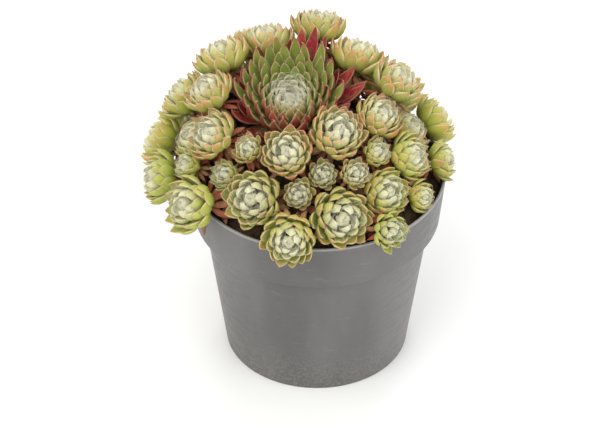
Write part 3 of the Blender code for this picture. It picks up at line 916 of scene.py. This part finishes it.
def dress_chick(k, chick, draw, rng):
    """An offset, greener low on the cushion and more flushed near its top."""
    radius, axis = chick["radius"], chick["axis"]
    base = chick["heart"] - axis * radius * 0.6
    place = rosette_frame(base, axis, chick["spin"])
    outward = Vector((base.x, base.y, 0))
    spot = outward.normalized() * min(outward.length * ROOT_SHARE, ROOT_FARTHEST)
    level = clip((chick["heart"].z - POT_HEIGHT) / UPPER_LINE[1][1])
    lime = 0.9 - 0.75 * level + draw.uniform(-0.25, 0.25)
    flush = 0.1 + 0.7 * level + draw.uniform(-0.3, 0.35)
    bright = draw.uniform(0.94, 1.08)

    def tone(share, t, outer, luck):
        limy = clip(lime + 0.35 * outer * share + 0.25 * (luck - 0.5)) * (1 - 0.15 * t)
        red = clip(flush * smooth(share, 0.45, 1) * smooth(t, 0.5, 0.98) * (0.3 + luck))
        pale = clip(1.1 * smooth(0.6 - share, -0.1, 0.5) + 0.35 * smooth(t, 0.7, 1) * (1 - share))
        # Painted shade: leaves darker towards their base, times a random brightness per rosette and per leaf.
        shade = bright * (0.86 + 0.14 * smooth(t, 0.1, 0.6)) * (0.94 + 0.12 * luck)
        return limy, red, pale * (1 - 0.3 * outer), shade

    piece = Piece()
    count = SMALL_CHICK_LEAVES if radius < SMALL_CHICK else CHICK_LEAVES
    leaves = spiral(count, CHICK_LEAF, radius, draw)
    bud = bud_leaves(CHICK_BUD_LEAVES, radius, draw, 3)
    add_living(
        piece, leaves, CHICK_FORM, place, tone, rng,
        dict(per_side=7, first=0.35, length=0.06 * radius, radius=FRINGE_RADIUS, least_share=0.45),
        dict(per_leaf=4, length=0.1 * radius, radius=TUFT_RADIUS),
        dict(inner=13, steps=(1, 2, 3, 5, 8), per_pair=1, lift=0.04),
    )
    add_living(
        piece, bud, CHICK_FORM, place, tone, rng,
        tufts=dict(per_leaf=8, length=0.12 * radius, radius=THREAD_RADIUS),
        web=dict(inner=len(bud), steps=(1, 2, 3), per_pair=4, lift=0.1),
    )
    old = spiral(CHICK_OLD_LEAVES, OLD_LEAF, radius, draw, 5, 2)
    add_withered(piece, [leaf for leaf in old if clear_of_wall(leaf, place)], place, OLD)
    add_stem(piece, base + axis * radius * 0.15, axis, spot, radius * 0.3, CHICK_STEM_RADIUS)
    name = f"chick_{k:02d}"
    piece.make("dressed_" + name, finishes_of("chick"), [name])


def bend_clear(leaf, place, chicks):
    """Draws a collar leaf in and up until it is clear of the offsets round it."""
    hearts = np.array([tuple(chick["heart"]) for chick in chicks])
    radii = np.array([chick["radius"] for chick in chicks])
    for _ in range(BEND_TRIES):
        points = blades([leaf], OUTLINE_FORM, place)["points"].reshape(-1, 3)
        gap = (np.linalg.norm(points[:, None] - hearts, axis=2) - radii).min()
        if gap > FIT_GAP:
            return
        leaf["tip_angle"] -= BEND_STEP
        leaf["length"] *= BEND_SHORTER


def green_tone(share, t, outer, luck):
    """Tones of the mother's bowl: green inside, red outside, and pale at the heart."""
    limy = clip(0.3 + 0.3 * luck + 0.3 * (1 - share)) * (1 - outer * 0.4)
    red = outer * smooth(t, 0.15, 0.6) * smooth(share, 0.5, 0.8) * (0.8 + 0.5 * luck)
    red = clip(red + smooth(t, 0.9, 1) * smooth(share, 0.7, 1) * 0.4 * luck)
    pale = 0.85 * smooth(0.56 - share, 0, 0.3) + 0.3 * smooth(t, 0.75, 1) * smooth(0.9 - share, 0, 0.5)
    # Painted shade: leaves darker towards their base, times a random brightness per leaf.
    shade = (0.82 + 0.18 * smooth(t, 0.15, 0.7)) * (0.92 + 0.16 * luck)
    return limy, red, clip(pale), shade


def red_tone(share, t, outer, luck):
    """Tones of the mother's collar."""
    red = clip(0.15 + smooth(t, 0.15, 0.6) * (0.8 + 0.3 * luck))
    # Painted shade: leaves darker towards their base, times a random brightness per leaf.
    shade = (0.75 + 0.25 * smooth(t, 0.15, 0.7)) * (0.8 + 0.4 * luck)
    return 0.2 * luck, red, 0, shade


def dress_hen(chicks, draw, rng):
    """The mother, with its collar bent clear of the offsets."""
    place = rosette_frame(HEN_BASE, HEN_AXIS, 0)
    piece = Piece()
    green = spiral(HEN_GREEN_LEAVES, GREEN_LEAF, HEN_RADIUS, draw, 0, 0.6)
    collar = spiral(HEN_RED_LEAVES, RED_LEAF, HEN_RADIUS, draw, HEN_GREEN_LEAVES)
    for leaf in collar:
        bend_clear(leaf, place, chicks)
    bud = bud_leaves(HEN_BUD_LEAVES, HEN_RADIUS * HEN_BUD_SIZE, draw, 5)
    add_living(
        piece, green, HEN_FORM, place, green_tone, rng,
        dict(per_side=9, first=0.35, length=0.8 * MM, radius=FRINGE_RADIUS, least_share=0.35),
        dict(per_leaf=5, length=1.2 * MM, radius=TUFT_RADIUS),
        dict(inner=26, steps=(1, 2, 3, 5, 8), per_pair=2, lift=0.06),
    )
    add_living(
        piece, bud, HEN_FORM, place, green_tone, rng,
        tufts=dict(per_leaf=9, length=1.3 * MM, radius=THREAD_RADIUS),
        web=dict(inner=len(bud), steps=(1, 2, 3, 5), per_pair=3, lift=0.1),
    )
    fringe = dict(per_side=10, first=0.3, length=0.8 * MM, radius=COLLAR_FRINGE_RADIUS)
    add_living(piece, collar, HEN_FORM, place, red_tone, rng, fringe)
    old = spiral(HEN_OLD_LEAVES, OLD_LEAF, HEN_RADIUS * HEN_OLD_SIZE, draw, 7, 1.5)
    add_withered(piece, old, place, OLD)
    spot = Vector((HEN_BASE.x, HEN_BASE.y, 0))
    start = HEN_BASE + HEN_AXIS * HEN_RADIUS * 0.1
    add_stem(piece, start, HEN_AXIS, spot, HEN_STEM_RADIUS, HEN_STEM_RADIUS)
    piece.make("dressed_hen", finishes_of("hen"), ["hen"])


# Soil and pot.


def revolve(profile, around):
    """Points and faces of a closed lathe; the profile starts and ends on the axis and goes up the outside."""
    inner = profile[1:-1]
    angles = [TURN * i / around for i in range(around)]
    points = [(r * math.cos(a), r * math.sin(a), z) for r, z in inner for a in angles]
    points += [(0, 0, profile[0][1]), (0, 0, profile[-1][1])]
    return points, *closed_rows(1, len(inner), around)


def add_compost(piece, rim, edge):
    """The compost's body, with a crumbly surface."""
    floor = CHANNEL_DEPTH + POT_WALL + FIT_GAP
    ledge = BAND_FOOT + POT_WALL + FIT_GAP
    profile = [
        (0, floor),
        (pot_inner_radius(floor) - FIT_GAP, floor),
        (BODY_TOP_RADIUS - POT_WALL - FIT_GAP, ledge),
        (pot_inner_radius(ledge) - FIT_GAP, ledge),
        (rim, edge),
    ]
    for k in range(1, SOIL_RINGS + 1):
        reach = rim * (1 - k / SOIL_RINGS)
        profile.append((reach, soil_top(reach)))
    points, quads, triangles = revolve(profile, SOIL_SIDES)
    points = np.array(points)
    for i, (x, y, z) in enumerate(points):
        reach = math.hypot(x, y)
        if z > edge - MM and reach < rim - 0.2 * MM:
            lump = noise.fractal(Vector((x, y, 0)) * LUMPS_PER_METRE, 0.8, 2, 4) * LUMP_MM * MM
            points[i, 2] += lump * min(1, (rim - reach) / (2 * MM))
    piece.add(points, quads, triangles, 0)


def add_grit(piece, rim, draw):
    """Crumbs on the compost, a few of them white."""
    ball = bmesh.new()
    bmesh.ops.create_icosphere(ball, subdivisions=1, radius=1)
    unit = np.array([v.co for v in ball.verts])
    faces = np.array([[v.index for v in f.verts] for f in ball.faces])
    ball.free()
    for _ in range(GRIT):
        reach, turn = rim * math.sqrt(draw.random()) * 0.95, draw.uniform(0, TURN)
        size = draw.uniform(0.4, 1.3) * MM
        shape = unit * [size * draw.uniform(0.5, 1.3) for _ in range(3)]
        shape *= np.array([[draw.uniform(0.8, 1.2)] for _ in unit])
        angle = draw.uniform(0, 6)
        axis = Vector((draw.random(), draw.random(), draw.random()))
        spin = np.array(Matrix.Rotation(angle, 3, axis))
        spot = (reach * math.cos(turn), reach * math.sin(turn), soil_top(reach) + 0.2 * size)
        white = int(draw.random() < WHITE_GRIT)
        tone = (draw.random() * (1 - white), white, 0, 0)
        piece.add(shape @ spin.T + spot, (), faces, 0, tone=tone, flat=True)


def add_fallen(piece, rim, draw):
    """Fallen leaves on the compost."""
    for _ in range(FALLEN_LEAVES):
        reach, turn = rim * math.sqrt(draw.uniform(0.15, 0.9)), draw.uniform(0, TURN)
        spot = Vector((reach * math.cos(turn), reach * math.sin(turn), soil_top(reach) + 0.8 * MM))
        lean = Vector((math.cos(turn) * 0.5, math.sin(turn) * 0.5, 1)).normalized()
        leaf = spiral(1, OLD_LEAF, draw.uniform(7, 11) * MM, draw)
        leaf[0].update(root=0, foot=0, angle=math.radians(80), tip_angle=math.radians(100))
        place = rosette_frame(spot, lean, draw.uniform(0, TURN))
        if clear_of_wall(leaf[0], place):
            add_withered(piece, leaf, place, 1)


def dress_soil(draw):
    """Compost, grit and fallen leaves."""
    edge = soil_top(RIM_RADIUS - POT_WALL)
    rim = pot_inner_radius(edge) - FIT_GAP
    piece = Piece()
    add_compost(piece, rim, edge)
    add_grit(piece, rim, draw)
    add_fallen(piece, rim, draw)
    piece.make("dressed_soil", [FINISHES["soil"], FINISHES["old"]], ["soil"])


def rounded(corners, radii):
    """A profile with its corners turned into arcs of a few steps."""
    made = [corners[0]]
    for before, corner, after, radius in zip(corners, corners[1:], corners[2:], radii):
        a, b, c = Vector(before), Vector(corner), Vector(after)
        first, last = (a - b).normalized(), (c - b).normalized()
        reach = min(radius, (a - b).length * 0.45, (c - b).length * 0.45)
        for k in range(EDGE_STEPS + 1):
            t = k / EDGE_STEPS
            spot = (b + first * reach) * (1 - t) ** 2 + b * 2 * t * (1 - t) + (b + last * reach) * t * t
            made.append(tuple(spot))
    return [*made, corners[-1]]


def cut_drain(pot, angle):
    """Cuts one drain hole through the raised ring of the underside."""
    middle = (CHANNEL_INNER + CHANNEL_OUTER) / 2
    bm = bmesh.new()
    place = Matrix.Translation((middle * math.cos(angle), middle * math.sin(angle), CHANNEL_DEPTH))
    bmesh.ops.create_cone(bm, cap_ends=True, segments=DRAIN_SIDES, radius1=DRAIN_RADIUS, radius2=DRAIN_RADIUS,
                          depth=4 * CHANNEL_DEPTH, matrix=place)
    mesh = bpy.data.meshes.new("drain")
    bm.to_mesh(mesh)
    bm.free()
    cutter = add_to_scene("drain", mesh)
    modifier = pot.modifiers.new("drain", "BOOLEAN")
    modifier.operation, modifier.object, modifier.solver = "DIFFERENCE", cutter, "EXACT"
    graph = bpy.context.evaluated_depsgraph_get()
    result = bpy.data.meshes.new_from_object(pot.evaluated_get(graph))
    pot.modifiers.clear()
    pot.data = result
    bpy.data.objects.remove(cutter)


def dress_pot():
    """The pot as a smooth lathe with rounded edges and drain holes."""
    slope = CHANNEL_DEPTH / 2
    ledge = BAND_FOOT + POT_WALL
    corners = [
        (0, 0), (CHANNEL_INNER, 0),
        (CHANNEL_INNER + slope, CHANNEL_DEPTH), (CHANNEL_OUTER - slope, CHANNEL_DEPTH),
        (CHANNEL_OUTER, 0), (FOOT_RADIUS, 0),
        (BODY_TOP_RADIUS, BAND_FOOT), (BAND_FOOT_RADIUS, BAND_FOOT),
        (RIM_RADIUS, POT_HEIGHT), (RIM_RADIUS - POT_WALL, POT_HEIGHT),
        (pot_inner_radius(ledge), ledge), (BODY_TOP_RADIUS - POT_WALL, ledge),
        (FOOT_RADIUS - POT_WALL, POT_WALL), (CHANNEL_OUTER + slope / 2, POT_WALL),
        (CHANNEL_OUTER - slope / 2, CHANNEL_DEPTH + POT_WALL),
        (CHANNEL_INNER + slope / 2, CHANNEL_DEPTH + POT_WALL),
        (CHANNEL_INNER - slope / 2, POT_WALL), (0, POT_WALL),
    ]
    radii = [EDGE_ROUND] * 4 + [BAND_ROUND] * 3 + [EDGE_ROUND] * 9
    piece = Piece()
    piece.add(*revolve(rounded(corners, radii), POT_SIDES), 0)
    pot = piece.make("dressed_pot", [FINISHES["pot"]], ["pot"])
    for k in range(DRAIN_COUNT):
        cut_drain(pot, TURN * (k + 0.5) / DRAIN_COUNT)
    pot.data.set_sharp_from_angle(angle=SHARP_ANGLE)


# Stage: a pale seamless floor, soft lights and the camera.

FLOOR_REACH = 3.0
LIT_SPOT = Vector((0, 0, 0.08))
LIGHTS = (
    ("key", (-0.45, -0.6, 1), 0.9, 7.8, (1, 0.985, 0.95)),
    ("fill", (0.8, -0.5, 0.6), 0.8, 3.6, (0.95, 0.98, 1)),
    ("back", (0.1, 0.9, 0.7), 0.8, 5, (1, 1, 1)),
)
SKY_STRENGTH = 0.9
CAMERA_ELEVATION = math.radians(38)
CAMERA_DISTANCE = 1.2
CAMERA_AIM = Vector((-0.007, 0, 0.062))
CAMERA_SENSOR = 36
CAMERA_LENS = 175


def make_floor():
    mesh = bpy.data.meshes.new("floor")
    corners = [(x * FLOOR_REACH, y * FLOOR_REACH, 0) for x, y in ((-1, -1), (1, -1), (1, 1), (-1, 1))]
    mesh.from_pydata(corners, [], [(0, 1, 2, 3)])
    f = Finish("floor_pale", 0.1)
    f.colour(f.mix(f.noise(3, 2), (0.83, 0.83, 0.82), (0.87, 0.87, 0.86)))
    f.rough(0.9)
    mesh.materials.append(f.material)
    add_to_scene("floor", mesh)


def aim(obj, spot, away):
    """Stands a lamp or a camera at a spot, facing against away."""
    obj.location = spot
    obj.rotation_mode = "QUATERNION"
    obj.rotation_quaternion = away.to_track_quat("Z", "Y")


def make_lights():
    """A white sky, and area lights that face the plant."""
    sky = bpy.data.worlds.new("studio")
    sky.use_nodes = True
    back = sky.node_tree.nodes["Background"]
    back.inputs["Color"].default_value = (1, 1, 1, 1)
    back.inputs["Strength"].default_value = SKY_STRENGTH
    bpy.context.scene.world = sky
    for name, spot, size, power, tint in LIGHTS:
        lamp = bpy.data.lights.new(name, "AREA")
        lamp.size, lamp.energy, lamp.color = size, power, tint
        aim(add_to_scene(name, lamp), spot, Vector(spot) - LIT_SPOT)


def make_camera():
    """The camera, at the photo's angle."""
    lens = bpy.data.cameras.new("camera")
    lens.sensor_width, lens.lens = CAMERA_SENSOR, CAMERA_LENS
    lens.clip_start, lens.clip_end = 0.01, 20
    away = Vector((0, -math.cos(CAMERA_ELEVATION), math.sin(CAMERA_ELEVATION)))
    camera = add_to_scene("camera", lens)
    aim(camera, CAMERA_AIM + away * CAMERA_DISTANCE, away)
    bpy.context.scene.camera = camera
    bpy.context.scene.view_settings.view_transform = "Standard"


def dress():
    draw, rng = random.Random(LOOKS_SEED), np.random.default_rng(LOOKS_SEED)
    chicks = place_chicks()
    dress_hen(chicks, draw, rng)
    for k, chick in enumerate(chicks, 1):
        dress_chick(k, chick, draw, rng)
    dress_soil(draw)
    dress_pot()
    make_floor()
    make_lights()
    make_camera()


dress()
